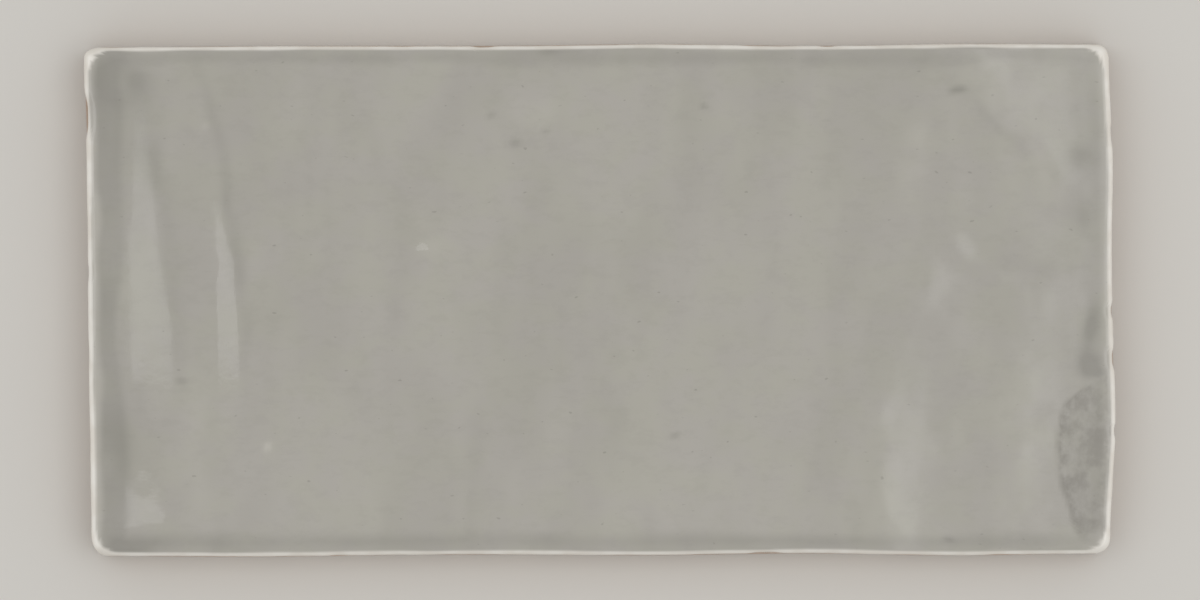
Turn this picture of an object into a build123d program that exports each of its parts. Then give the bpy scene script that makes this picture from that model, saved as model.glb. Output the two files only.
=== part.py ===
from build123d import *
import math
import os

# Handmade-look glazed ceramic wall tile: one pressed and fired piece, in millimetres.
# The tile lies on its back. X runs along its length, Y across its width, and Z up through
# the glazed face. The origin is the middle of the back, on the plane of the keying ribs.

# Nominal sizes of the bed; the edges wander about these
LENGTH = 150.0
WIDTH = 75.0
THICKNESS = 9.0

# Sides: they lean in towards the face, so that the pressed tile leaves its mould
DRAFT_DEG = 3.0
ARRIS_RADIUS = 0.8
BED_CHAMFER = 0.5

# Corners in plan, none of them alike
HEAD_LEFT_RADIUS = 1.8
HEAD_RIGHT_RADIUS = 2.2
FOOT_RIGHT_RADIUS = 2.6
FOOT_LEFT_RADIUS = 3.0

# How far each edge stands out from its straight line, at even steps from corner to corner:
# head and foot from left to right, the two ends from foot to head
HEAD_WANDER = (-0.30, -0.15, -0.10, -0.05, 0.15, -0.10, 0.20, 0.15)
FOOT_WANDER = (0.20, 0.30, 0.05, 0.00, 0.05, -0.20, 0.10, -0.15)
LEFT_WANDER = (-0.50, -0.35, -0.10, 0.05, 0.20, 0.55)
RIGHT_WANDER = (-0.25, 0.45, 0.20, -0.05, 0.05, -0.50)

# Swells left in the face by the press: place along and across as shares of the half sizes,
# reach along and across, lean and bow of the crest, and height above or below the flat. Lean
# is the crest's shift along for each millimetre across, bow that for each square millimetre
SWELLS = (
    (-0.810, -0.293, 5.2, 33.0, 0.0, -0.0028, 0.27),
    (-0.687, -0.293, 3.6, 29.0, 0.0, -0.0032, 0.38),
    (-0.910, -0.690, 4.2, 5.5, 0.15, 0.0, -0.30),
    (0.530, -0.627, 6.0, 17.0, 0.06, 0.0, 0.34),
    (0.693, 0.880, 9.0, 13.0, -0.75, 0.0, 0.34),
    (0.827, 0.933, 8.0, 5.0, 0.0, 0.0, 0.16),
    (0.804, -0.240, 4.6, 17.0, 0.05, 0.0, 0.11),
)

# The face is drawn through points this far apart, to this tolerance, and the slab that it
# is cut from is this much taller than the tile
FACE_STEP = 2.0
FACE_TOLERANCE = 0.005
SPARE_HEIGHT = 2.0

# Back: a lattice of ribs that keys into the adhesive, inside a plain border. The pitch is
# nominal, and is stretched so that whole pockets fill the room inside the border
BORDER = 6.0
RIB_WIDTH = 2.5
POCKET_PITCH = 17.0
POCKET_DEPTH = 0.8
POCKET_CORNER_RADIUS = 2.0
POCKET_DRAFT_DEG = 25.0

# A quarter circle drawn as a cubic curve has its handles this share of the radius long
QUARTER_HANDLE = 0.5523


def edge_stations(start, end, outward, wander):
    """Points from start to end, each moved outwards by its own wander."""
    steps = len(wander) - 1
    return [
        start + (end - start) * (i / steps) + outward * stand_out
        for i, stand_out in enumerate(wander)
    ]


def outline(z, lean_in):
    """Closed plan outline of the tile at height z, drawn in by lean_in all round."""
    half_x = LENGTH / 2 - lean_in
    half_y = WIDTH / 2 - lean_in
    right, left = Vector(1, 0, 0), Vector(-1, 0, 0)
    head, foot = Vector(0, 1, 0), Vector(0, -1, 0)
    # Each side runs clockwise: its start, its end, its outward way, its wander and the
    # radius of the corner that follows it
    sides = (
        (
            Vector(-half_x + HEAD_LEFT_RADIUS, half_y, z),
            Vector(half_x - HEAD_RIGHT_RADIUS, half_y, z),
            head,
            HEAD_WANDER,
            HEAD_RIGHT_RADIUS,
        ),
        (
            Vector(half_x, half_y - HEAD_RIGHT_RADIUS, z),
            Vector(half_x, -half_y + FOOT_RIGHT_RADIUS, z),
            right,
            RIGHT_WANDER[::-1],
            FOOT_RIGHT_RADIUS,
        ),
        (
            Vector(half_x - FOOT_RIGHT_RADIUS, -half_y, z),
            Vector(-half_x + FOOT_LEFT_RADIUS, -half_y, z),
            foot,
            FOOT_WANDER[::-1],
            FOOT_LEFT_RADIUS,
        ),
        (
            Vector(-half_x, -half_y + FOOT_LEFT_RADIUS, z),
            Vector(-half_x, half_y - HEAD_LEFT_RADIUS, z),
            left,
            LEFT_WANDER,
            HEAD_LEFT_RADIUS,
        ),
    )
    runs = [edge_stations(start, end, out, wander) for start, end, out, wander, _ in sides]
    edges = []
    for i, (start, end, _, _, radius) in enumerate(sides):
        along = (end - start).normalized()
        next_start, next_end = sides[(i + 1) % 4][:2]
        next_along = (next_end - next_start).normalized()
        this_run, next_run = runs[i], runs[(i + 1) % 4]
        handle = QUARTER_HANDLE * radius
        edges.append(Spline(*this_run, tangents=(along, along)))
        edges.append(
            Bezier(
                this_run[-1],
                this_run[-1] + along * handle,
                next_run[0] - next_along * handle,
                next_run[0],
            )
        )
    return Wire(edges)


def face_height(x, y):
    """Height of the glazed face over the bed at a point of the plan."""
    height = THICKNESS
    for share_x, share_y, reach_x, reach_y, lean, bow, rise in SWELLS:
        across = y - share_y * WIDTH / 2
        along = x - share_x * LENGTH / 2 - lean * across - bow * across**2
        height += rise * math.exp(-((along / reach_x) ** 2) - (across / reach_y) ** 2)
    return height


def above_the_face():
    """Everything over the glazed face, to be cut from the blank."""
    reach_x = LENGTH / 2 + FACE_STEP
    reach_y = WIDTH / 2 + FACE_STEP
    count_x = math.ceil(2 * reach_x / FACE_STEP)
    count_y = math.ceil(2 * reach_y / FACE_STEP)
    points = []
    for i in range(count_x + 1):
        x = -reach_x + 2 * reach_x * i / count_x
        row = []
        for j in range(count_y + 1):
            y = -reach_y + 2 * reach_y * j / count_y
            row.append(Vector(x, y, face_height(x, y)))
        points.append(row)
    skin = Face.make_surface_from_array_of_points(points, tol=FACE_TOLERANCE)
    return extrude(skin, amount=2 * SPARE_HEIGHT, dir=(0, 0, 1))


def blank():
    """Drafted slab with the wandering outline, taller than the tile by its spare."""
    height = THICKNESS + SPARE_HEIGHT
    lean_in = height * math.tan(math.radians(DRAFT_DEG))
    return Solid.make_loft([outline(0, 0), outline(height, lean_in)], ruled=True)


def lattice(half_room):
    """Pitch of the pockets and their number on each side of the centre rib."""
    reach = half_room + RIB_WIDTH / 2
    count = max(1, round(reach / POCKET_PITCH))
    return reach / count, count


def keying_pockets():
    """Shallow pockets of the back, narrower at the floor than at the mouth."""
    pitch_x, count_x = lattice(LENGTH / 2 - BORDER)
    pitch_y, count_y = lattice(WIDTH / 2 - BORDER)
    mouth = RectangleRounded(pitch_x - RIB_WIDTH, pitch_y - RIB_WIDTH, POCKET_CORNER_RADIUS)
    pocket = extrude(mouth, amount=POCKET_DEPTH, dir=(0, 0, 1), taper=POCKET_DRAFT_DEG)
    return [
        Pos((i + 0.5) * pitch_x, (j + 0.5) * pitch_y) * pocket
        for i in range(-count_x, count_x)
        for j in range(-count_y, count_y)
    ]


def wall_tile():
    """The whole tile as one solid."""
    tile = (blank() - above_the_face()).solid()
    bed = tile.faces().sort_by(Axis.Z)[0]
    tile = chamfer(bed.outer_wire().edges(), BED_CHAMFER).solid()
    face = tile.faces().sort_by(Axis.Z)[-1]
    tile = fillet(face.outer_wire().edges(), ARRIS_RADIUS).solid()
    return (tile - keying_pockets()).solid()


os.makedirs("parts", exist_ok=True)
tile = wall_tile()
tile.label = "wall_tile"
export_step(tile, "parts/wall_tile.step")
box = tile.bounding_box()
print("size", box.size, "volume", round(tile.volume), "valid", tile.is_valid)
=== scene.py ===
import math

import bpy
import numpy as np
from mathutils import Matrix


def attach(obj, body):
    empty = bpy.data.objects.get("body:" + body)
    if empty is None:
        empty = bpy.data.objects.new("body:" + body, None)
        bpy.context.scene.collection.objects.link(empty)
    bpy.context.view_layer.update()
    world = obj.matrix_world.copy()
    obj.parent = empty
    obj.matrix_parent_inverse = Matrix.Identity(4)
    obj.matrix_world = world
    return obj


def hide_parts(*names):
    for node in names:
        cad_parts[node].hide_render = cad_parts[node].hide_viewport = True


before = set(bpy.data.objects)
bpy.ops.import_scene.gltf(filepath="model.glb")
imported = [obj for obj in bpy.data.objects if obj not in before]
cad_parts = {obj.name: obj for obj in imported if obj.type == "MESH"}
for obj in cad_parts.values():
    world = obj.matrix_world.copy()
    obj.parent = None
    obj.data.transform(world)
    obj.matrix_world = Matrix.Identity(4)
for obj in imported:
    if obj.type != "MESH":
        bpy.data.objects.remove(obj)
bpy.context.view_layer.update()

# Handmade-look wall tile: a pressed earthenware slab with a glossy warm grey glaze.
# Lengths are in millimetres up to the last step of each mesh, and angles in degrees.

MM = 0.001

# Slab: nominal bed, thickness, lean of the sides and roundings, as pressed
LENGTH = 150.0
WIDTH = 75.0
THICKNESS = 9.0
DRAFT_DEG = 3.0
LEAN_IN = THICKNESS * math.tan(math.radians(DRAFT_DEG))
ARRIS_RADIUS = 0.8
BED_CHAMFER = 0.5
CORNER_RADII = {"foot left": 3.0, "foot right": 2.6, "head right": 2.2, "head left": 1.8}

# A quarter circle drawn as a cubic curve has its handles this share of the radius long
QUARTER_HANDLE = 0.5523

# How far each edge stands out from straight, at even steps between its corners: foot and
# head from left to right, the two ends from foot to head
FOOT_WANDER = (0.20, 0.30, 0.05, 0.00, 0.05, -0.20, 0.10, -0.15)
HEAD_WANDER = (-0.30, -0.15, -0.10, -0.05, 0.15, -0.10, 0.20, 0.15)
LEFT_WANDER = (-0.50, -0.35, -0.10, 0.05, 0.20, 0.55)
RIGHT_WANDER = (-0.25, 0.45, 0.20, -0.05, 0.05, -0.50)
# Each edge's wander and the corners where it starts and ends
EDGES = {
    "foot": (FOOT_WANDER, "foot left", "foot right"),
    "right": (RIGHT_WANDER, "foot right", "head right"),
    "head": (HEAD_WANDER, "head left", "head right"),
    "left": (LEFT_WANDER, "foot left", "head left"),
}

# Hills are soft bumps over the face: place along and across as shares of the half sizes,
# reach along and across, lean and bow of the crest, and height. Lean is the crest's shift
# along for each millimetre across, and bow that for each square millimetre
SWELLS = (
    (-0.810, -0.293, 5.2, 33.0, 0.0, -0.0028, 0.27),
    (-0.687, -0.293, 3.6, 29.0, 0.0, -0.0032, 0.38),
    (-0.910, -0.690, 4.2, 5.5, 0.15, 0.0, -0.30),
    (0.530, -0.627, 6.0, 17.0, 0.06, 0.0, 0.34),
    (0.693, 0.880, 9.0, 13.0, -0.75, 0.0, 0.34),
    (0.827, 0.933, 8.0, 5.0, 0.0, 0.0, 0.16),
    (0.804, -0.240, 4.6, 17.0, 0.05, 0.0, 0.11),
)
# Smaller ones, left by the glaze and not by the press: drips and finger marks
FINE_SWELLS = (
    (-0.313, 0.200, 3.2, 2.1, 0.0, 0.0, 0.27),
    (0.690, 0.213, 2.0, 1.7, -0.30, 0.0, 0.14),
    (0.745, 0.110, 2.6, 3.0, -1.30, 0.0, 0.07),
    (-0.735, 0.130, 1.3, 1.6, 0.0, 0.0, -0.04),
    (-0.890, -0.700, 1.8, 2.4, 0.0, 0.0, 0.08),
    (-0.848, -0.885, 2.0, 1.9, 0.0, 0.0, 0.05),
    (0.627, 0.060, 2.8, 5.0, 0.20, 0.0, 0.13),
    (0.813, 0.280, 8.0, 2.2, 0.0, 0.0, 0.08),
    (0.527, -0.440, 3.0, 3.0, 0.60, 0.0, 0.09),
    (0.560, -0.850, 2.6, 4.0, -0.40, 0.0, 0.07),
    (0.853, 0.013, 3.2, 3.0, 0.30, 0.0, 0.07),
    (0.820, -0.330, 3.0, 3.2, -0.50, 0.0, 0.06),
    (0.800, -0.600, 3.0, 3.0, 0.40, 0.0, 0.07),
    (0.730, 0.930, 3.0, 2.0, -0.60, 0.0, 0.10),
    (0.870, 0.560, 2.4, 4.0, -0.60, 0.0, 0.09),
)
# Where the glaze is darker than elsewhere, or (below nought) paler: mostly where it lies deeper
# or thinner, and, in the rows marked so, painted shade and painted highlights
TONES = (
    # Dark lines beside the swells of the left end, drawn in the colour alone, and what lies
    # round them
    (-0.843, 0.320, 1.7, 24.0, -0.123, -0.0028, 0.26),
    (-0.713, 0.320, 1.0, 22.0, -0.150, -0.0028, 0.54),
    (-0.780, -0.640, 1.8, 12.0, 0.0, 0.0, -0.15),
    # Painted shade, dimming the top and the middle of the left end's highlight
    (-0.885, 0.600, 4.0, 12.0, -0.05, 0.0, 0.34),
    (-0.870, -0.150, 4.5, 12.0, 0.0, 0.0, 0.12),
    # A painted highlight over the small hill in the middle, and the paler foot of the face
    (-0.323, 0.207, 2.4, 1.5, 0.2, 0.0, -0.30),
    (-0.050, -0.800, 60.0, 7.0, 0.0, 0.0, -0.15),
    # Dark corners of the left end: the glaze pooling there, and painted shade where the face
    # turns away from the lamps
    (-0.935, 0.885, 4.5, 4.0, 0.0, 0.0, 0.80),
    (-0.930, -0.600, 2.4, 6.0, 0.0, 0.0, 0.50),
    (-0.925, -0.965, 4.0, 1.6, 0.0, 0.0, 0.95),
    # Drag marks across the middle, and one at the head right corner
    (-0.240, -0.620, 1.5, 11.0, 0.07, 0.0, 0.24),
    (0.027, -0.480, 2.0, 10.0, -0.03, 0.0, 0.22),
    (0.760, 0.700, 1.2, 5.0, -1.05, 0.0, 0.38),
    # Painted highlights over the swell at the head right corner, and dark patches of the right
    # end
    (0.860, 0.820, 8.0, 3.0, 0.0, 0.0, -0.16),
    (0.860, 0.520, 1.6, 5.0, -0.30, 0.0, -0.30),
    (0.667, -0.307, 4.5, 3.5, 0.0, 0.0, 0.15),
    (0.830, 0.125, 6.5, 1.4, 0.0, 0.0, 0.20),
    # Dark spots beside the right edge
    (0.957, -0.100, 1.3, 2.8, 0.0, 0.0, 1.15),
    (0.943, -0.240, 1.9, 1.9, 0.0, 0.0, 1.30),
    (0.946, -0.165, 1.2, 2.0, 0.0, 0.0, 0.50),
    (0.965, -0.290, 2.2, 0.8, 0.0, 0.0, 0.75),
    (0.933, 0.550, 2.4, 2.2, 0.0, 0.0, 0.48),
    (0.933, 0.310, 2.6, 2.2, 0.0, 0.0, 0.44),
    # Pale dimples and a dark one at the head
    (0.607, 0.540, 2.0, 5.0, 0.15, 0.0, -0.55),
    (-0.093, 0.965, 4.0, 0.8, 0.0, 0.0, 0.70),
    (-0.133, 0.720, 3.6, 3.2, 0.0, 0.0, -0.35),
    # Specks
    (-0.167, 0.605, 0.8, 0.5, 0.0, 0.0, 0.80),
    (-0.207, 0.720, 0.7, 0.5, 0.0, 0.0, 0.60),
    (-0.107, 0.653, 0.7, 0.5, 0.0, 0.0, 0.60),
    (0.200, 0.747, 0.6, 0.4, 0.0, 0.0, 0.80),
    (-0.813, -0.320, 0.9, 0.5, 0.0, 0.0, 0.90),
    (0.147, -0.525, 0.7, 0.4, 0.0, 0.0, 0.80),
    (0.693, 0.813, 1.2, 0.5, 0.0, 0.0, 0.90),
    (0.680, -0.933, 0.8, 0.4, 0.0, 0.0, 0.80),
    (-0.767, 0.680, 0.5, 0.5, 0.0, 0.0, -0.80),
    (-0.647, -0.573, 0.6, 0.6, 0.0, 0.0, -0.90),
)

# Long, faint unevenness of the slip: depth, wave lengths along and across, and seed
UNEVENNESS = ((0.012, 15.0, 17.0, 3), (0.005, 5.5, 7.0, 4))
# Shorter ripples over the swells of the left end, and finer ones at the right end
LEFT_RIPPLES = ((0.018, 3.4, 8.0, 8),)
RIGHT_RIPPLES = ((0.018, 4.2, 3.6, 6), (0.009, 1.7, 2.0, 7))

# The face dips by this much along its long arrises, this far inside them, and stays full by
# as much along the short ones
EDGE_DIP = 0.03
EDGE_DIP_PLACE = 1.8
EDGE_DIP_REACH = 1.4

# Back: lattice of ribs with shallow drafted pockets between them
BORDER = 6.0
RIB_WIDTH = 2.5
POCKET_PITCH = 17.0
POCKET_DEPTH = 0.8
POCKET_CORNER_RADIUS = 2.0
POCKET_DRAFT_DEG = 25.0

# Fineness of the tile's mesh, and the belt round the face where its rows follow the outline
MESH_STEP = 0.5
BELT_WIDTH = 6.0
ARRIS_ROWS = 6
SIDE_ROWS = 14
CHAMFER_ROWS = 2
POCKET_CORNER_POINTS = 6
EDGE_POINTS = 241
CORNER_POINTS = 33
# Points closer than this are one, and edges that turn more than this are sharp
WELD_REACH = 0.005
SHARP_DEG = 40.0

# The random heights that unevenness is made from repeat after this many wave lengths
DRIFT_CELLS = 64

# Glaze: how far it runs down the sides, on average and either way, and its own thickness
GLAZE_RUN = 1.7
GLAZE_RUN_VARIES = 0.8
GLAZE_THICKNESS = 0.12

# Waver of the arris: depth, wave length and seed
ARRIS_WAVER = ((0.04, 6.0, 11), (0.015, 1.6, 12))
ARRIS_RADIUS_VARIES = 0.10
# Heights between which the waver and the nicks fade, down the sides
WAVER_FADES = (2.0, 8.0)
NICK_FADES = (5.5, 8.0)

# Cream rim where the glaze thins: its width, and how much wider it is at the ends, where the rim
# is also a painted highlight from the side lamps
RIM_WIDTH = 0.72
RIM_WIDER_AT_ENDS = 0.26
# Dark bands where it pools inside the edges of the face: reach and depth
END_POOL_REACH = 6.4
END_POOL_NARROWS = 2.2
LEFT_POOL, RIGHT_POOL = 0.66, 0.24
SIDE_POOL_REACH = 3.4
HEAD_POOL, FOOT_POOL = 0.50, 0.66
INNER_CORNER_RADIUS = 4.0

# Patch at the right end where the glaze crawled: where its bowed border comes furthest in,
# how it bows away towards the head and the foot, and where it ends at the foot
PATCH_X = 66.4
PATCH_Y = -20.0
PATCH_BOW_HEAD = 93.0
PATCH_BOW_FOOT = 65.0
PATCH_FOOT = 33.0

# Nicks in the arris: edge, place along it, half length and depth
NICKS = (
    ("left", 26.8, 2.8, 0.42),
    ("left", 4.0, 1.2, 0.12),
    ("right", -1.5, 1.0, 0.25),
    ("right", -8.5, 1.4, 0.30),
    ("right", -19.0, 0.9, 0.18),
    ("right", 24.0, 1.5, 0.15),
    ("head", -17.0, 1.4, 0.15),
    ("head", 33.0, 1.0, 0.12),
    ("foot", 24.0, 2.0, 0.20),
    ("foot", -38.0, 1.2, 0.12),
)

# Patterns of the surface: wave lengths along, across and up, detail, roughness, and the
# part of the range that shows, with the strength at its low and at its high end
PATTERNS = {
    "clouds": ((9.0, 7.0, 9.0), 3.0, 0.55, (0.36, 0.64), (0.0, 1.0)),
    "bands": ((9.0, 22.0, 20.0), 2.0, 0.5, (0.35, 0.65), (0.19, 0.0)),
    "blotches": ((2.6, 1.5, 2.0), 4.0, 0.65, (0.32, 0.55), (0.09, 0.0)),
    "drag lines": ((4.5, 0.45, 2.0), 3.0, 0.6, (0.27, 0.36), (0.06, 0.0)),
    # Drawn larger than real pinholes, which are too fine to show
    "pinholes": ((1.3, 0.7, 1.0), 1.0, 0.5, (0.74, 0.80), (0.0, 0.30)),
    "crawl": ((2.0, 2.2, 2.0), 3.0, 0.5, (0.34, 0.66), (0.22, 0.84)),
    "slip": ((4.0, 4.0, 1.5), 2.0, 0.5, (0.35, 0.65), (0.0, 1.0)),
    "polish": ((8.0, 3.0, 5.0), 3.0, 0.5, (0.3, 0.7), (0.02, 0.07)),
    "clay mottle": ((4.0, 4.0, 2.5), 4.0, 0.5, (0.30, 0.70), (0.0, 1.0)),
    # Drawn coarser than the real grit, which is too fine to show
    "grit": ((0.5, 0.5, 0.5), 3.0, 0.5, (0.62, 0.75), (0.0, 0.5)),
}
# Strength of the glaze's colour where it pools and in painted shade, and where it is pale and in
# painted highlights
POOL_AND_SHADE_SHARE = 0.62
PALE_AND_HIGHLIGHT_SHARE = 0.5
GLAZE_IOR = 1.52
CLAY_ROUGHNESS = 0.88
FLOOR_ROUGHNESS = 0.9
# How much duller the glaze is where it pools, and again towards the right end, between
# these shares of the tile's length from its middle
DULLER = 0.10
DULLER_FROM, DULLER_TO = 0.10, 0.32
# Relief finer than the mesh: its full depth, and the clouds', blotches' and crawled lumps'
# share of it. The grit of the bare clay has all of it
BUMP_DEPTH = 0.12
CLOUD_RELIEF, BLOTCH_RELIEF, CRAWL_RELIEF = 0.12, 0.03, 0.35

# Camera: straight over the tile, from far enough that its sides hardly show
LENS_MM = 200.0
SENSOR_MM = 36.0
TILE_SHARE_OF_FRAME = 0.86

# The floor lies a hair under the bed, so that the two never share a plane
FLOOR_GAP = 0.15

# Studio, in metres: the lamps face straight down from one height. Each is a rectangle from
# one corner to the other, of even radiance. The left one is brighter along its foot
FLOOR_HALF = 3.0
CAMERA_SEES = 20.0
LAMP_HEIGHT = 1.2
SOFT_BOXES = (
    ("left_box", (-0.80, -0.024), (-0.20, 0.42), 1.12),
    ("left_box_foot", (-0.80, -0.024), (-0.20, 0.03), 0.40),
    ("right_box", (0.185, -0.40), (0.80, 0.40), 1.30),
)
ROOM_LIGHT = 0.70


def smooth_step(low, high, value):
    """0 below low, 1 above high, and an even S between them."""
    t = np.clip((value - low) / (high - low), 0, 1)
    return t * t * (3 - 2 * t)


def through(values, at):
    """Smooth curve through evenly spaced values, level at both ends; at runs from 0 to 1."""
    y = np.array(values)
    last = len(y) - 1
    system = np.eye(last + 1)
    right_hand = np.zeros(last + 1)
    for i in range(1, last):
        system[i, i - 1:i + 2] = 1, 4, 1
        right_hand[i] = 3 * (y[i + 1] - y[i - 1])
    slope = np.linalg.solve(system, right_hand)
    place = np.clip(np.asarray(at) * last, 0, last)
    i = np.minimum(place.astype(int), last - 1)
    t = place - i
    return (
        y[i] * (1 + 2 * t) * (1 - t) ** 2
        + slope[i] * t * (1 - t) ** 2
        + y[i + 1] * t * t * (3 - 2 * t)
        + slope[i + 1] * t * t * (t - 1)
    )


def drift(x, y, wave_x, wave_y, seed):
    """Smooth random height between -1 and 1 over the plane, with given wave lengths."""
    table = np.random.default_rng(seed).uniform(-1, 1, (DRIFT_CELLS, DRIFT_CELLS))
    u, v = np.asarray(x) / wave_x + DRIFT_CELLS / 2, np.asarray(y) / wave_y + DRIFT_CELLS / 2
    i, j = np.floor(u).astype(int), np.floor(v).astype(int)
    s, t = smooth_step(0, 1, u - i), smooth_step(0, 1, v - j)
    i, j, next_i, next_j = (k % DRIFT_CELLS for k in (i, j, i + 1, j + 1))
    low = table[i, j] * (1 - s) + table[next_i, j] * s
    high = table[i, next_j] * (1 - s) + table[next_i, next_j] * s
    return low * (1 - t) + high * t


def drift_along(around, wave, seed):
    """Smooth random height between -1 and 1 along a line."""
    return drift(around, 0 * around, wave, 1.0, seed)


def sunk(waves, x, y):
    """How far the slip lies below its full height, from a table of waves."""
    return sum(
        depth * (1 - drift(x, y, wave_x, wave_y, seed)) for depth, wave_x, wave_y, seed in waves
    )


def hills(table, x, y):
    """Sum of the soft bumps in a table, at each point of the plan."""
    total = np.zeros_like(x)
    for share_x, share_y, reach_x, reach_y, lean, bow, height in table:
        across = y - share_y * WIDTH / 2
        along = x - share_x * LENGTH / 2 - lean * across - bow * across**2
        total += height * np.exp(-((along / reach_x) ** 2) - (across / reach_y) ** 2)
    return total


def room_inside(x, y):
    """How far each point of the plan is inside the nearer end and the nearer side."""
    half_x, half_y = LENGTH / 2 - LEAN_IN, WIDTH / 2 - LEAN_IN

    def stands_out(name, place, half):
        wander, before, after = EDGES[name]
        start, end = -half + CORNER_RADII[before], half - CORNER_RADII[after]
        return through(wander, np.clip((place - start) / (end - start), 0, 1))

    from_left = x + half_x + stands_out("left", y, half_y)
    from_right = half_x - x + stands_out("right", y, half_y)
    from_foot = y + half_y + stands_out("foot", x, half_x)
    from_head = half_y - y + stands_out("head", x, half_x)
    return np.minimum(from_left, from_right), np.minimum(from_foot, from_head)


def round_corner(from_end, from_side):
    """How far each point is inside the nearest edge, with the corners rounded off."""
    nearest = np.minimum(from_end, from_side)
    reach = np.hypot(
        np.maximum(INNER_CORNER_RADIUS - from_end, 0),
        np.maximum(INNER_CORNER_RADIUS - from_side, 0),
    )
    return np.where(nearest < INNER_CORNER_RADIUS, INNER_CORNER_RADIUS - reach, nearest)


def face_height(x, y):
    """Height of the glazed face over the bed."""
    z = THICKNESS + hills(SWELLS + FINE_SWELLS, x, y)
    from_end, from_side = room_inside(x, y)
    z -= EDGE_DIP * np.exp(-(((from_side - EDGE_DIP_PLACE) / EDGE_DIP_REACH) ** 2))
    z -= EDGE_DIP * smooth_step(0.8, 3.5, from_end)
    # What the slip adds is always below what was pressed
    z -= sunk(UNEVENNESS, x, y)
    # The left end ripples over the heads of its swells, and half as much at their feet
    share = x / (LENGTH / 2)
    at_swells = np.maximum(smooth_step(-8.0, 6.0, y), 0.5 * smooth_step(22.0, 27.0, -y))
    z -= sunk(LEFT_RIPPLES, x, y) * at_swells * smooth_step(0.60, 0.72, -share)
    z -= sunk(RIGHT_RIPPLES, x, y) * smooth_step(0.35, 0.60, share)
    return z


def edge_run(name, half_x, half_y):
    """One wandering edge between its corners, anticlockwise seen from above."""
    wander, before, after = EDGES[name]
    lies_along_x = name in ("foot", "head")
    half, stands_off = (half_x, half_y) if lies_along_x else (half_y, half_x)
    start, end = -half + CORNER_RADII[before], half - CORNER_RADII[after]
    share = np.linspace(0, 1, EDGE_POINTS)
    along = start + share * (end - start)
    out = stands_off + through(wander, share)
    if name in ("foot", "left"):
        out = -out
    run = np.stack([along, out] if lies_along_x else [out, along], 1)
    return run if name in ("foot", "right") else run[::-1]


def corner_run(start, end, way_in, way_out, radius):
    """Rounded corner from one edge's end to the next one's start."""
    handle = QUARTER_HANDLE * radius
    t = np.linspace(0, 1, CORNER_POINTS)[1:-1, None]
    a, b = start + way_in * handle, end - way_out * handle
    near = (1 - t) ** 3 * start + 3 * t * (1 - t) ** 2 * a
    far = 3 * t * t * (1 - t) * b + t**3 * end
    return near + far


def plan_outline(lean_in, count_x, count_y):
    """Stations round the tile, anticlockwise from the middle of the foot left corner.

    Each edge has as many even stations, between the middles of its corners, as the face
    has columns or rows.
    """
    half_x, half_y = LENGTH / 2 - lean_in, WIDTH / 2 - lean_in
    ways = np.array([(1.0, 0.0), (0.0, 1.0), (-1.0, 0.0), (0.0, -1.0)])
    edges = [edge_run(name, half_x, half_y) for name in ("foot", "right", "head", "left")]
    names = ("foot right", "head right", "head left", "foot left")
    corners = [
        corner_run(edges[i][-1], edges[(i + 1) % 4][0], ways[i], ways[(i + 1) % 4],
                   CORNER_RADII[names[i]])
        for i in range(4)
    ]
    stations = []
    for i, count in enumerate((count_x, count_y, count_x, count_y)):
        before, after = corners[i - 1], corners[i]
        run = np.concatenate([before[len(before) // 2:], edges[i], after[:len(after) // 2 + 1]])
        reach = np.concatenate([[0], np.cumsum(np.hypot(*np.diff(run, axis=0).T))])
        even = np.linspace(0, reach[-1], count + 1)[:-1]
        stations.append(np.stack([np.interp(even, reach, run[:, k]) for k in (0, 1)], 1))
    return np.concatenate(stations)


def inward(points):
    """Unit normals into the tile at each station of an anticlockwise outline."""
    along = np.roll(points, -1, 0) - np.roll(points, 1, 0)
    along /= np.hypot(*along.T)[:, None]
    return np.stack([-along[:, 1], along[:, 0]], 1)


def nick_depth(points):
    """How deep the nicks cut into the arris at each station."""
    depth = np.zeros(len(points))
    x, y = points.T
    margin = 2.0
    edges = {
        "left": (x < -LENGTH / 2 + margin, y),
        "right": (x > LENGTH / 2 - margin, y),
        "foot": (y < -WIDTH / 2 + margin, x),
        "head": (y > WIDTH / 2 - margin, x),
    }
    for edge, place, half_length, deep in NICKS:
        on_edge, along = edges[edge]
        depth += on_edge * deep * np.exp(-(((along - place) / half_length) ** 4))
    return depth


def face_grid():
    """The face inside the belt: its points, its squares, its own edge and its counts.

    The edge lists its points anticlockwise from the foot left corner. The counts are of
    columns and of rows.
    """
    half_x, half_y = LENGTH / 2 - BELT_WIDTH, WIDTH / 2 - BELT_WIDTH
    count_x, count_y = round(2 * half_x / MESH_STEP), round(2 * half_y / MESH_STEP)
    columns = np.linspace(-half_x, half_x, count_x + 1)
    rows = np.linspace(-half_y, half_y, count_y + 1)
    grid_x, grid_y = np.meshgrid(columns, rows, indexing="ij")
    plan = np.stack([grid_x.ravel(), grid_y.ravel()], 1)
    number = np.arange(len(plan)).reshape(count_x + 1, count_y + 1)
    squares = np.stack(
        [number[:-1, :-1], number[1:, :-1], number[1:, 1:], number[:-1, 1:]], -1
    ).reshape(-1, 4)
    edge = np.concatenate(
        [number[:-1, 0], number[-1, :-1], number[:0:-1, -1], number[0, :0:-1]]
    )
    return plan, squares, edge, (count_x, count_y)


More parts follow.
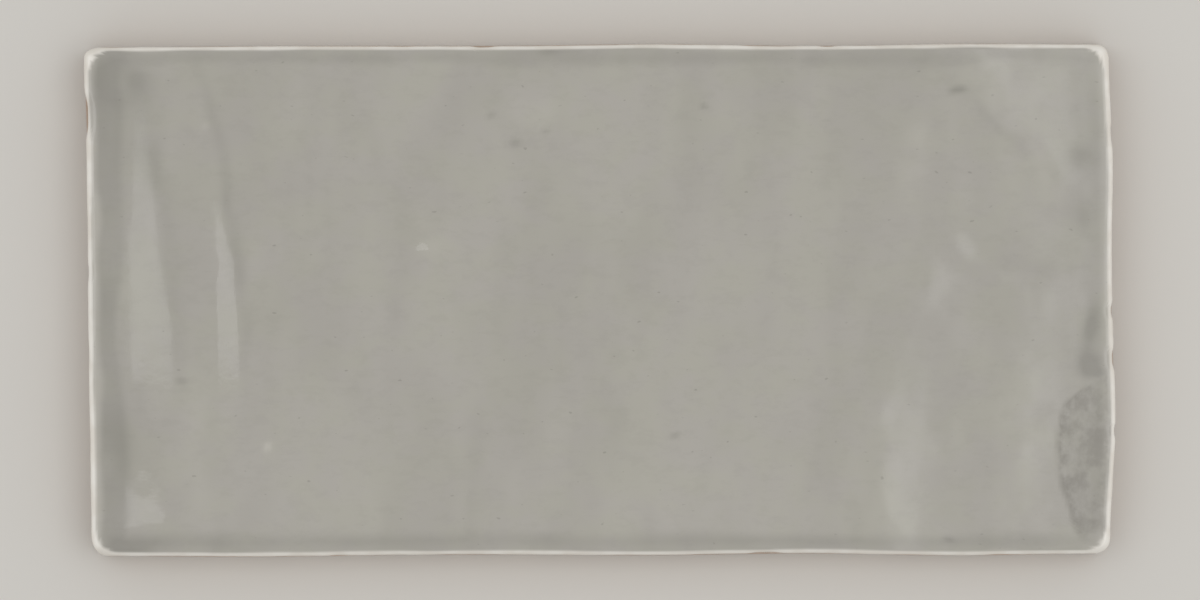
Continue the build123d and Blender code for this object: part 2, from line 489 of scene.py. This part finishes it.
def shell_rings(inner, counts):
    """Rings of stations from the face's grid, over the arris and down the sides to the bed.

    Also gives how far the glaze runs down at each station.
    """
    bed = plan_outline(0.0, *counts)
    top = plan_outline(LEAN_IN, *counts)
    way_in = inward(top)
    around = np.cumsum(np.hypot(*(top - np.roll(top, 1, 0)).T))
    nick = nick_depth(top)
    # Small waver of the arris, always inwards of the pressed outline
    waver = sum(
        depth * (1 + drift_along(around, wave, seed)) for depth, wave, seed in ARRIS_WAVER
    )
    # Each nick rounds the arris by half as much as it cuts in
    radius = ARRIS_RADIUS * (1 + ARRIS_RADIUS_VARIES * drift_along(around, 9.0, 13)) + 0.5 * nick
    lip = GLAZE_RUN + GLAZE_RUN_VARIES * drift_along(around, 7.0, 14)
    lip += 0.35 * GLAZE_RUN_VARIES * drift_along(around, 2.2, 15)

    def wall(z):
        """Stations on the leaning side at height z, with its waver and the glaze's lip."""
        share = (z / THICKNESS)[:, None]
        bare = 1 - smooth_step(-0.25, 0.25, z - (THICKNESS - lip))
        back = waver * smooth_step(*WAVER_FADES, z) + nick * smooth_step(*NICK_FADES, z)
        back += GLAZE_THICKNESS * bare
        return bed + (top - bed) * share + way_in * back[:, None]

    edge_height = face_height(*(top + way_in * radius[:, None]).T)
    side_top = edge_height - radius
    rings = []
    # Belt of the face, from the grid out to the arris
    start = wall(side_top) + way_in * radius[:, None]
    belt_rows = round(BELT_WIDTH / MESH_STEP)
    for k in range(1, belt_rows + 1):
        place = inner + (start - inner) * (k / belt_rows)
        rings.append(np.column_stack([place, face_height(*place.T)]))
    rings[-1][:, 2] = edge_height
    # Arris
    for k in range(1, ARRIS_ROWS + 1):
        turn = math.pi / 2 * (1 - k / ARRIS_ROWS)
        z = edge_height - radius * (1 - math.sin(turn))
        inset = radius * (1 - math.cos(turn))
        rings.append(np.column_stack([wall(z) + way_in * inset[:, None], z]))
    # Sides
    for k in range(1, SIDE_ROWS + 1):
        z = side_top + (BED_CHAMFER - side_top) * (k / SIDE_ROWS)
        rings.append(np.column_stack([wall(z), z]))
    # Chamfer round the bed
    for k in range(1, CHAMFER_ROWS + 1):
        turn = math.pi / 2 * k / CHAMFER_ROWS
        z = np.full(len(bed), BED_CHAMFER * (1 - math.sin(turn)))
        inset = BED_CHAMFER * (1 - math.cos(turn))
        rings.append(np.column_stack([wall(z) + way_in * inset, z]))
    return rings, lip


def tile_shell():
    """The tile without its back: face, arris, sides and the chamfer down to the bed."""
    plan, squares, inner_ring, counts = face_grid()
    rings, lip = shell_rings(plan[inner_ring], counts)
    faces = [squares]
    total = len(plan)
    for ring in rings:
        outer_ring = np.arange(total, total + len(ring))
        next_outer, next_inner = np.roll(outer_ring, -1), np.roll(inner_ring, -1)
        faces.append(np.stack([inner_ring, outer_ring, next_outer, next_inner], -1))
        total += len(ring)
        inner_ring = outer_ring
    points = np.concatenate([np.column_stack([plan, face_height(*plan.T)])] + rings)

    mesh = bpy.data.meshes.new("tile_shell")
    mesh.from_pydata(points * MM, [], np.concatenate(faces).tolist())
    run = np.concatenate([np.full(len(plan), GLAZE_RUN)] + [lip] * len(rings))
    for name, values in glaze_attributes(points, run).items():
        mesh.attributes.new(name, "FLOAT", "POINT").data.foreach_set("value", values)
    mesh.update()
    return mesh


def glaze_attributes(points, run):
    """How the glaze lies at each point, from 0 to 1.

    Cover is 0 on bare clay. The film is 1 where the glaze is a mere film, and at the ends it
    also holds a painted highlight over the arris. The pool is 1 where it is deepest, and it also
    holds painted shade. Pale is 1 where it is palest, and it also holds painted highlights.
    Mottle is 1 where it crawled.
    """
    x, y, z = points.T
    below_face = THICKNESS - z
    lip = run - below_face + 0.25 * drift(x + y, z, 1.1, 0.8, 21)
    cover = smooth_step(-0.2, 0.2, lip)
    from_end, from_side = room_inside(x, y)

    # Thin over the arris, and again at the lip on the sides. At the ends the rim is stronger and
    # wider, partly as painted highlight where the side lamps catch the arris
    from_edge = round_corner(from_end, from_side)
    at_end = smooth_step(-1.0, 1.0, from_side - from_end)
    at_foot = smooth_step(0.0, 10.0, -y)
    rim_width = RIM_WIDTH + RIM_WIDER_AT_ENDS * at_end + 0.12 * drift(x, y, 6.0, 6.0, 22)
    rim = (0.85 - 0.10 * at_foot) * (1 - at_end) + at_end
    rim *= 1 - smooth_step(0.5, 1.0, from_edge / rim_width)
    film = 1 - smooth_step(0.9, 2.4, from_end + 0.5 * drift(x, y, 3.0, 6.0, 26))
    film *= np.where(x < 0, 0.22, 0.12)
    on_side = smooth_step(0.7, 1.3, below_face)
    side_film = 0.35 + 0.45 * (1 - smooth_step(0.0, 0.6, lip))
    thin_and_highlight = np.maximum(rim, film) * (1 - on_side) + side_film * on_side

    # Deep along the edges of the face, less far in at the middle of the ends
    end_reach = END_POOL_REACH + 0.8 * drift(x, y, 9.0, 9.0, 23)
    end_reach -= END_POOL_NARROWS * np.exp(-(((y + 5.0) / 9.0) ** 2))
    end_depth = np.where(x < 0, LEFT_POOL, RIGHT_POOL)
    side_reach = SIDE_POOL_REACH + 0.8 * drift(x, y, 12.0, 12.0, 24)
    side_depth = HEAD_POOL + (FOOT_POOL - HEAD_POOL) * at_foot
    pool_and_shade = np.maximum(
        end_depth * (1 - smooth_step(0.70 * end_reach, end_reach, from_end)),
        side_depth * (1 - smooth_step(0.5 * side_reach, 1.1 * side_reach, from_side)),
    )
    pool_and_shade *= 0.8 + 0.25 * drift(x, y, 4.0, 6.0, 25)
    pool_and_shade *= 0.45 + 0.55 * smooth_step(0.6, 2.2, from_edge)
    # Then deeper or paler by the table of tones, some of which are painted shade and painted
    # highlights, with their outlines a little ragged
    ragged_x = x + 0.45 * drift(x, y, 3.0, 4.5, 29)
    ragged_y = y + 0.45 * drift(x, y, 4.5, 3.0, 30)
    tones = hills(TONES, ragged_x, ragged_y) * (0.80 + 0.50 * drift(x, y, 2.5, 3.5, 28))
    pool_and_shade = np.clip(pool_and_shade + np.maximum(tones, 0), 0, 1)

    # Crawled in a patch at the right end, darkest along its bowed border
    up = y - PATCH_Y
    border = PATCH_X + np.where(up > 0, up**3 / PATCH_BOW_HEAD, up**2 / PATCH_BOW_FOOT)
    border += 0.4 * drift(x, y, 3.0, 2.5, 27)
    ring = np.exp(-(((x - border - 0.4) / 0.8) ** 2))
    patch = smooth_step(-0.4, 0.6, x - border)
    patch *= 1 - smooth_step(PATCH_FOOT, PATCH_FOOT + 3.0, -y)
    patch *= 0.75 + 0.25 * ring
    return {
        "cover": cover,
        "thin_and_highlight": thin_and_highlight,
        "pool_and_shade": pool_and_shade,
        "pale_and_highlight": np.clip(-tones, 0, 1),
        "mottle": patch,
    }


def shown(node):
    """The first output that a node shows."""
    return next(output for output in node.outputs if output.enabled)


def add(tree, kind, inputs=None, **settings):
    """Adds a node, with its settings, its input values and its links.

    Inputs go by name, or by number where several sockets share one name. A node given as a
    value is linked from the first output that it shows.
    """
    made = tree.nodes.new(kind)
    for name, value in settings.items():
        setattr(made, name, value)
    for name, value in (inputs or {}).items():
        if isinstance(value, bpy.types.Node):
            value = shown(value)
        if isinstance(value, bpy.types.NodeSocket):
            tree.links.new(value, made.inputs[name])
        else:
            made.inputs[name].default_value = value
    return made


def pocket_sizes(tree, given, way, count):
    """Sizes along one way of the lattice of pockets.

    They are a pocket's mouth, the reach from the first pocket's centre to the last one's,
    and the share of the mouth that the pocket's floor keeps.
    """
    pitch = given[f"Pitch {way}"]
    mouth = add(tree, "ShaderNodeMath", {0: pitch, 1: given["Rib Width"]}, operation="SUBTRACT")
    steps = add(tree, "ShaderNodeMath", {0: given[count], 1: 1.0}, operation="SUBTRACT")
    reach = add(tree, "ShaderNodeMath", {0: steps, 1: pitch}, operation="MULTIPLY")
    lost = add(tree, "ShaderNodeMath", {0: given["Floor Inset"], 1: 2.0}, operation="MULTIPLY")
    kept = add(tree, "ShaderNodeMath", {0: mouth, 1: lost}, operation="SUBTRACT")
    floor_share = add(tree, "ShaderNodeMath", {0: kept, 1: mouth}, operation="DIVIDE")
    return mouth, reach, floor_share


def ribs_and_border(tree, shell, mouth, centres):
    """The bed's outline filled, with every pocket's mouth left open."""
    mouths = add(tree, "GeometryNodeInstanceOnPoints", {"Points": centres, "Instance": mouth})
    mouths = add(tree, "GeometryNodeRealizeInstances", {"Geometry": mouths})
    neighbours = add(tree, "GeometryNodeInputMeshEdgeNeighbors")
    open_edge = add(
        tree, "FunctionNodeCompare", {2: neighbours, 3: 1}, data_type="INT", operation="EQUAL"
    )
    bed_line = add(tree, "GeometryNodeMeshToCurve", {"Mesh": shell, "Selection": open_edge})
    lines = add(tree, "GeometryNodeJoinGeometry")
    for line in (bed_line, mouths):
        tree.links.new(shown(line), lines.inputs[0])
    filled = add(tree, "GeometryNodeFillCurve", {"Curve": lines})
    return add(tree, "GeometryNodeFlipFaces", {"Mesh": filled})


def drafted_pockets(tree, depth, mouth, centres, floor_shares):
    """Walls and floor of every pocket, drawn up from its mouth and in towards its middle."""
    lid = add(tree, "GeometryNodeFillCurve", {"Curve": mouth})
    up = add(tree, "ShaderNodeCombineXYZ", {"Z": depth})
    drawn_up = add(
        tree, "GeometryNodeExtrudeMesh",
        {"Mesh": lid, "Offset": up, "Offset Scale": 1.0, "Individual": False},
    )
    shrink = add(
        tree, "ShaderNodeCombineXYZ", {"X": floor_shares[0], "Y": floor_shares[1], "Z": 1.0}
    )
    place = add(tree, "GeometryNodeInputPosition")
    drawn_in = add(tree, "ShaderNodeVectorMath", {0: place, 1: shrink}, operation="MULTIPLY")
    pocket = add(
        tree, "GeometryNodeSetPosition",
        {"Geometry": drawn_up, "Selection": drawn_up.outputs["Top"], "Position": drawn_in},
    )
    pocket = add(tree, "GeometryNodeFlipFaces", {"Mesh": pocket})
    pockets = add(tree, "GeometryNodeInstanceOnPoints", {"Points": centres, "Instance": pocket})
    return add(tree, "GeometryNodeRealizeInstances", {"Geometry": pockets})


def keyed_back_tree(material):
    """Closes an open shell with a back of pockets between ribs."""
    tree = bpy.data.node_groups.new("keyed_back", "GeometryNodeTree")
    wanted = (
        ("Shell", "NodeSocketGeometry"),
        ("Pitch Along", "NodeSocketFloat"),
        ("Pitch Across", "NodeSocketFloat"),
        ("Columns", "NodeSocketInt"),
        ("Rows", "NodeSocketInt"),
        ("Rib Width", "NodeSocketFloat"),
        ("Corner Radius", "NodeSocketFloat"),
        ("Depth", "NodeSocketFloat"),
        ("Floor Inset", "NodeSocketFloat"),
    )
    for name, kind in wanted:
        tree.interface.new_socket(name=name, in_out="INPUT", socket_type=kind)
    tree.interface.new_socket(name="Tile", in_out="OUTPUT", socket_type="NodeSocketGeometry")
    given = add(tree, "NodeGroupInput").outputs

    mouth_along, reach_along, share_along = pocket_sizes(tree, given, "Along", "Columns")
    mouth_across, reach_across, share_across = pocket_sizes(tree, given, "Across", "Rows")
    box = add(
        tree, "GeometryNodeCurvePrimitiveQuadrilateral",
        {"Width": mouth_along, "Height": mouth_across},
    )
    mouth = add(
        tree, "GeometryNodeFilletCurve",
        {"Curve": box, "Radius": given["Corner Radius"], "Count": POCKET_CORNER_POINTS},
        mode="POLY",
    )
    centres = add(
        tree, "GeometryNodeMeshGrid",
        {"Size X": reach_along, "Size Y": reach_across,
         "Vertices X": given["Columns"], "Vertices Y": given["Rows"]},
    )
    ribs = ribs_and_border(tree, given["Shell"], mouth, centres)
    pockets = drafted_pockets(tree, given["Depth"], mouth, centres, (share_along, share_across))

    whole = add(tree, "GeometryNodeJoinGeometry")
    for part in (shown(pockets), shown(ribs), given["Shell"]):
        tree.links.new(part, whole.inputs[0])
    welded = add(
        tree, "GeometryNodeMergeByDistance", {"Geometry": whole, "Distance": WELD_REACH * MM}
    )
    realized = add(tree, "GeometryNodeRealizeInstances", {"Geometry": welded})
    dressed = add(
        tree, "GeometryNodeSetMaterial", {"Geometry": realized, "Material": material}
    )
    add(tree, "NodeGroupOutput", {"Tile": dressed})
    return tree


def lattice(half_room):
    """Pitch and number of the pockets across twice this room."""
    reach = half_room + RIB_WIDTH / 2
    count = max(1, round(reach / POCKET_PITCH))
    return reach / count, 2 * count


def glazed_tile(material):
    """The whole tile as one closed mesh."""
    shell = bpy.data.objects.new("shell", tile_shell())
    bpy.context.scene.collection.objects.link(shell)
    pitch_along, columns = lattice(LENGTH / 2 - BORDER)
    pitch_across, rows = lattice(WIDTH / 2 - BORDER)
    sizes = {
        "Pitch Along": pitch_along * MM,
        "Pitch Across": pitch_across * MM,
        "Columns": columns,
        "Rows": rows,
        "Rib Width": RIB_WIDTH * MM,
        "Corner Radius": POCKET_CORNER_RADIUS * MM,
        "Depth": POCKET_DEPTH * MM,
        "Floor Inset": POCKET_DEPTH * math.tan(math.radians(POCKET_DRAFT_DEG)) * MM,
    }
    modifier = shell.modifiers.new("keyed_back", "NODES")
    modifier.node_group = keyed_back_tree(material)
    for socket in modifier.node_group.interface.items_tree:
        if socket.in_out == "INPUT" and socket.name in sizes:
            modifier[socket.identifier] = sizes[socket.name]
    now = bpy.context.evaluated_depsgraph_get()
    mesh = bpy.data.meshes.new_from_object(shell.evaluated_get(now), depsgraph=now)
    bpy.data.objects.remove(shell)
    mesh.name = "glazed_tile"
    tile = bpy.data.objects.new("glazed_tile", mesh)
    bpy.context.scene.collection.objects.link(tile)
    mesh.shade_smooth()
    mesh.set_sharp_from_angle(angle=math.radians(SHARP_DEG))
    return tile


def linear(hex_colour):
    """An sRGB hex colour as linear red, green, blue and alpha."""
    parts = [int(hex_colour[i:i + 2], 16) / 255 for i in (1, 3, 5)]
    return [c / 12.92 if c <= 0.04045 else ((c + 0.055) / 1.055) ** 2.4 for c in parts] + [1.0]


def coated(tree, colour, coats):
    """A colour under coats of others, from the first coat, each with its share over it."""
    for share, coat in coats:
        colour = add(tree, "ShaderNodeMix", {0: share, 6: colour, 7: coat}, data_type="RGBA")
    return colour


def surface_patterns(tree, place):
    """The noise of each pattern, and how strongly the pattern shows, by name."""
    noise, shows = {}, {}
    for name, (waves, detail, roughness, part, strength) in PATTERNS.items():
        scaled = add(
            tree, "ShaderNodeMapping",
            {"Vector": place, "Scale": [1 / (wave * MM) for wave in waves]},
        )
        noise[name] = add(
            tree, "ShaderNodeTexNoise",
            {"Vector": scaled, "Scale": 1.0, "Detail": detail, "Roughness": roughness},
        )
        shows[name] = add(
            tree, "ShaderNodeMapRange",
            {"Value": noise[name], "From Min": part[0], "From Max": part[1],
             "To Min": strength[0], "To Max": strength[1]},
            interpolation_type="SMOOTHSTEP",
        )
    return noise, shows


def tile_colour(tree, lies, shows):
    """Glaze over slip and over the bare body."""
    pooled_and_shaded = add(tree, "ShaderNodeMath", {0: lies["pool_and_shade"], 1: POOL_AND_SHADE_SHARE}, operation="MULTIPLY")
    pale_and_highlight = add(tree, "ShaderNodeMath", {0: lies["pale_and_highlight"], 1: PALE_AND_HIGHLIGHT_SHARE}, operation="MULTIPLY")
    crawled = add(
        tree, "ShaderNodeMath", {0: shows["crawl"], 1: lies["mottle"]}, operation="MULTIPLY"
    )
    cream = coated(tree, linear("#E9E3D9"), [(shows["slip"], linear("#F3EFE7"))])
    glaze = coated(
        tree, linear("#B2AEA6"),
        [
            # Drifts between pinkish and greenish
            (shows["clouds"], linear("#B2AFA4")),
            # Faint bands across, and fainter blotches and drag lines along
            (shows["bands"], linear("#96928A")),
            (shows["blotches"], linear("#8C8980")),
            (shows["drag lines"], linear("#8C8980")),
            (shows["pinholes"], linear("#6E6B63")),
            # Darker where it pools and in painted shade, paler where it is scant and in painted
            # highlights, and mottled where it crawled
            (pooled_and_shaded, linear("#86837B")),
            (pale_and_highlight, linear("#CFCBC1")),
            (crawled, linear("#8A867E")),
            # Cream where it thins over the arris and the slip shows through; at the ends partly
            # a painted highlight from the side lamps
            (lies["thin_and_highlight"], cream),
        ],
    )
    clay = coated(
        tree, linear("#B59D8A"),
        [(shows["clay mottle"], linear("#C2AC9A")), (shows["grit"], linear("#85695A"))],
    )
    return coated(tree, clay, [(lies["cover"], glaze)])


def tile_roughness(tree, place, lies, shows):
    """The glaze is glossy, and duller where it pools and towards the right end."""
    along = add(tree, "ShaderNodeSeparateXYZ", {"Vector": place})
    duller = add(
        tree, "ShaderNodeMapRange",
        {"Value": along, "From Min": DULLER_FROM * LENGTH * MM,
         "From Max": DULLER_TO * LENGTH * MM, "To Min": 0.0, "To Max": DULLER},
        interpolation_type="SMOOTHSTEP",
    )
    duller = add(
        tree, "ShaderNodeMath", {0: lies["pool_and_shade"], 1: DULLER, 2: duller},
        operation="MULTIPLY_ADD",
    )
    glaze = add(tree, "ShaderNodeMath", {0: shows["polish"], 1: duller}, operation="ADD")
    return add(
        tree, "ShaderNodeMix", {0: lies["cover"], 2: CLAY_ROUGHNESS, 3: glaze},
        data_type="FLOAT",
    )


def tile_relief(tree, lies, noise):
    """Clouds, blotches and crawled lumps in the glaze, and grit in the bare clay."""
    glaze = add(
        tree, "ShaderNodeMath", {0: noise["clouds"], 1: CLOUD_RELIEF}, operation="MULTIPLY"
    )
    lumps = add(
        tree, "ShaderNodeMath", {0: noise["crawl"], 1: CRAWL_RELIEF}, operation="MULTIPLY"
    )
    for height, share in ((noise["blotches"], BLOTCH_RELIEF), (lumps, lies["mottle"])):
        glaze = add(
            tree, "ShaderNodeMath", {0: height, 1: share, 2: glaze}, operation="MULTIPLY_ADD"
        )
    relief = add(
        tree, "ShaderNodeMix", {0: lies["cover"], 2: noise["grit"], 3: glaze},
        data_type="FLOAT",
    )
    return add(
        tree, "ShaderNodeBump",
        {"Height": relief, "Strength": 1.0, "Distance": BUMP_DEPTH * MM},
    )


def glazed_earthenware():
    """Glossy glaze over white slip, fused on a pressed earthenware body.

    The glaze gives a cloudy warm grey under sharp, faint reflections. It is darker where it
    pools and shows the cream slip where it thins. Its colour also holds painted shade at the
    left end, and painted highlights in the middle, at the right end and on the rim at the ends.
    The bare body is matt, buff and gritty.
    """
    material = bpy.data.materials.new("glazed_earthenware")
    material.use_nodes = True
    tree = material.node_tree
    place = add(tree, "ShaderNodeTexCoord").outputs["Object"]
    lies = {
        name: add(tree, "ShaderNodeAttribute", attribute_name=name).outputs["Fac"]
        for name in ("cover", "thin_and_highlight", "pool_and_shade", "pale_and_highlight", "mottle")
    }
    noise, shows = surface_patterns(tree, place)
    finish = {
        "Base Color": tile_colour(tree, lies, shows),
        "Roughness": tile_roughness(tree, place, lies, shows),
        "Normal": tile_relief(tree, lies, noise),
    }
    shader = tree.nodes["Principled BSDF"]
    for name, node in finish.items():
        tree.links.new(shown(node), shader.inputs[name])
    shader.inputs["IOR"].default_value = GLAZE_IOR
    return material


def plain_floor():
    """A floor of matt paper, which looks pale and mirrors nothing, for the tile to lie on."""
    mesh = bpy.data.meshes.new("floor")
    ways = ((-1, -1), (1, -1), (1, 1), (-1, 1))
    corners = [(FLOOR_HALF * x, FLOOR_HALF * y, -FLOOR_GAP * MM) for x, y in ways]
    mesh.from_pydata(corners, [], [(0, 1, 2, 3)])
    floor = bpy.data.objects.new("floor", mesh)
    bpy.context.scene.collection.objects.link(floor)
    material = bpy.data.materials.new("matt_paper")
    material.use_nodes = True
    shader = material.node_tree.nodes["Principled BSDF"]
    shader.inputs["Base Color"].default_value = linear("#DAD7D1")
    shader.inputs["Roughness"].default_value = FLOOR_ROUGHNESS
    mesh.materials.append(material)


def soft_box(name, low, high, radiance):
    """A lamp of even brightness that faces straight down, from corner low to corner high."""
    lamp = bpy.data.lights.new(name, "AREA")
    lamp.shape = "RECTANGLE"
    lamp.size, lamp.size_y = high[0] - low[0], high[1] - low[1]
    lamp.energy = math.pi * radiance * lamp.size * lamp.size_y
    box = bpy.data.objects.new(name, lamp)
    box.location = ((low[0] + high[0]) / 2, (low[1] + high[1]) / 2, LAMP_HEIGHT)
    bpy.context.scene.collection.objects.link(box)


def studio():
    """Even light from all round, and soft boxes either side of the camera."""
    world = bpy.data.worlds.new("studio")
    world.use_nodes = True
    background = world.node_tree.nodes["Background"]
    background.inputs["Color"].default_value = (1.0, 1.0, 1.0, 1.0)
    background.inputs["Strength"].default_value = ROOM_LIGHT
    bpy.context.scene.world = world
    for name, low, high, radiance in SOFT_BOXES:
        soft_box(name, low, high, radiance)


def overhead_camera():
    """Looks straight down at the middle of the face."""
    lens = bpy.data.cameras.new("camera")
    lens.lens = LENS_MM
    lens.sensor_width = SENSOR_MM
    lens.clip_end = CAMERA_SEES
    camera = bpy.data.objects.new("camera", lens)
    frame_width = LENGTH * MM / TILE_SHARE_OF_FRAME
    camera.location = (0.0, 0.0, THICKNESS * MM + frame_width * LENS_MM / SENSOR_MM)
    bpy.context.scene.collection.objects.link(camera)
    bpy.context.scene.camera = camera


bpy.context.scene.view_settings.view_transform = "Standard"
overhead_camera()
studio()
plain_floor()
tile = glazed_tile(glazed_earthenware())
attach(tile, "root")
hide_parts("wall_tile")
